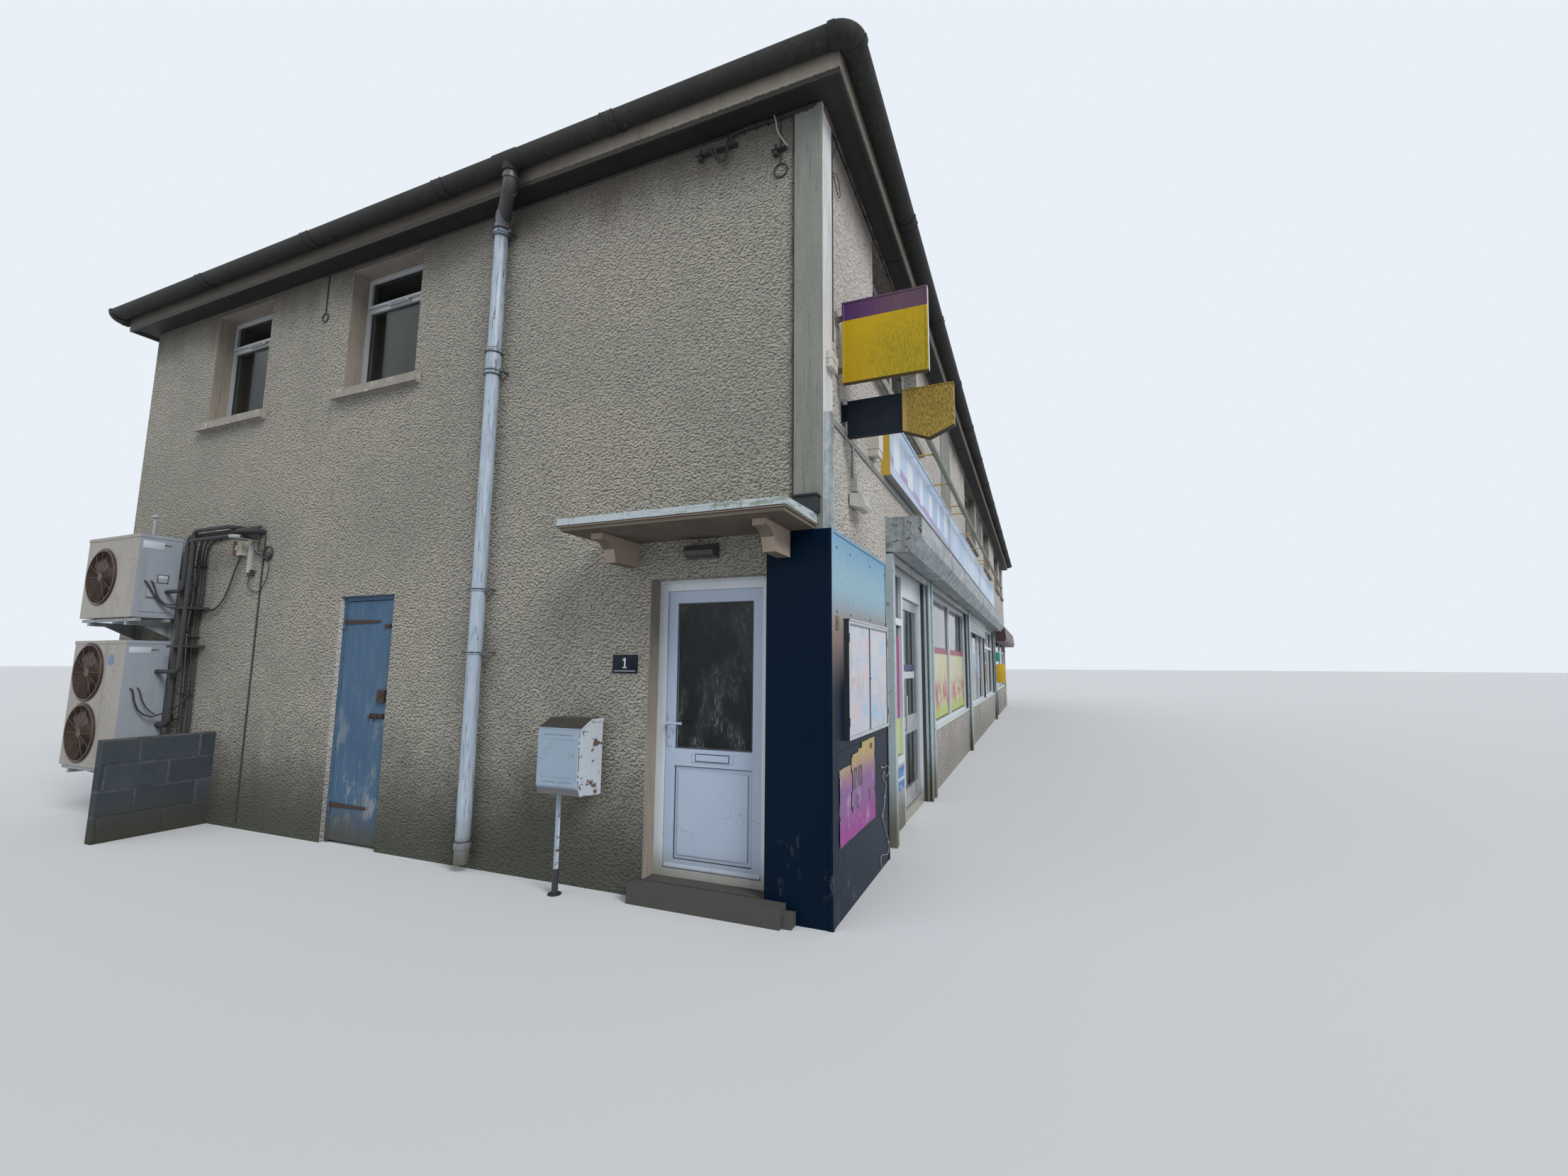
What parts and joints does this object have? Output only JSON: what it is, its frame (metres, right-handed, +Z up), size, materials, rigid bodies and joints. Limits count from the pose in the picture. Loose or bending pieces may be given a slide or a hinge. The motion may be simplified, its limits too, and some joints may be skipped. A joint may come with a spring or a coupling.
{
  "type": "corner shop building",
  "caption": "Two-storey rendered corner shop with a flat above, hipped tiled roof, shuttered shop front, corbelled door canopy and wall-hung condensers.",
  "frame": {"origin": "centre of the block's plan at ground level, on the underside of the ground floor", "axes": "+X along the street front away from the street corner, +Y from the street front to the yard side, +Z up"},
  "size_m": [24.826, 9.832, 8.773],
  "materials": {
    "concrete": "rough",
    "plaster": "matte",
    "roughcast": "rough",
    "smooth_render": "matte",
    "roof_tiles": "matte",
    "cream_boards": "satin",
    "gutter_grey": "matte",
    "pipe_white": "matte",
    "white_plastic": "satin",
    "window_glass": "gloss",
    "door_glass": "gloss",
    "canopy_concrete": "rough",
    "blue_paint": "matte",
    "rusty_iron": "rough",
    "door_aluminium": "satin",
    "galvanised": "satin",
    "sign_face": "satin",
    "light_tube": "satin",
    "sign_yellow": "satin",
    "black_sheet": "satin",
    "lamp_plastic": "satin",
    "white_sheet": "satin",
    "casing_paint": "satin",
    "black_lagging": "matte",
    "blockwork": "rough",
    "dark_sheet": "satin"
  },
  "bodies": {
    "building": {"ground_floor": "concrete", "upper_floors": "plaster", "end_wall_lower": "roughcast", "end_wall_upper": "roughcast", "front_wall_lower": "smooth_render", "front_wall_upper": "roughcast", "rear_wall": "roughcast", "far_end_wall": "roughcast", "smooth_bands": "smooth_render", "hip_roof": "roof_tiles", "eaves_boards": "cream_boards", "gutter": "gutter_grey", "downpipe": "pipe_white", "upper_window_frames": "white_plastic", "upper_window_glass": "window_glass", "sills_and_step": "concrete", "flat_door_frame": "white_plastic", "door_canopy": "canopy_concrete", "store_door_frame": "blue_paint", "shop_front_frames": "white_plastic", "shop_front_glass": "window_glass", "shutter_boxes": "galvanised", "shutter_guides": "galvanised", "shutter_curtains": "galvanised", "fascia_sign": "sign_face", "sign_lights": "light_tube", "square_sign": "sign_yellow", "badge_sign": "sign_yellow", "notice_board": "door_aluminium", "corner_panel": "black_sheet", "corner_trim": "galvanised", "outside_lights": "lamp_plastic", "letter_box": "white_sheet", "condensers": "casing_paint", "condenser_stand": "galvanised", "pipes_and_cables": "black_lagging", "screen_wall": "blockwork", "far_shop_canopy": "dark_sheet"},
    "flat_door": {"flat_door_leaf": "white_plastic", "flat_door_glass": "door_glass"},
    "store_door": {"store_door_leaf": "blue_paint", "store_door_ironwork": "rusty_iron"},
    "shop_door": {"shop_door_leaf": "door_aluminium", "shop_door_glass": "window_glass"},
    "letter_box_door": {"letter_box_door": "white_sheet"}
  },
  "joints": [
    {"name": "flat_door_hinge", "type": "hinge", "parent": "building", "child": "flat_door", "pos_m": [-11.604, -3.844, 1.2], "axis": [0, 0, -1], "range_deg": [0, 85]},
    {"name": "store_door_hinge", "type": "hinge", "parent": "building", "child": "store_door", "pos_m": [-11.767, 0.402, 1.2], "axis": [0, 0, -1], "range_deg": [0, 95]},
    {"name": "shop_door_hinge", "type": "hinge", "parent": "building", "child": "shop_door", "pos_m": [-7.994, -4.1825, 1.2], "axis": [0, 0, -1], "range_deg": [0, 90]},
    {"name": "letter_box_hinge", "type": "hinge", "parent": "building", "child": "letter_box_door", "pos_m": [-12.114, -2.651, 0.965], "axis": [0, 0, 1], "range_deg": [0, 100]}
  ]
}
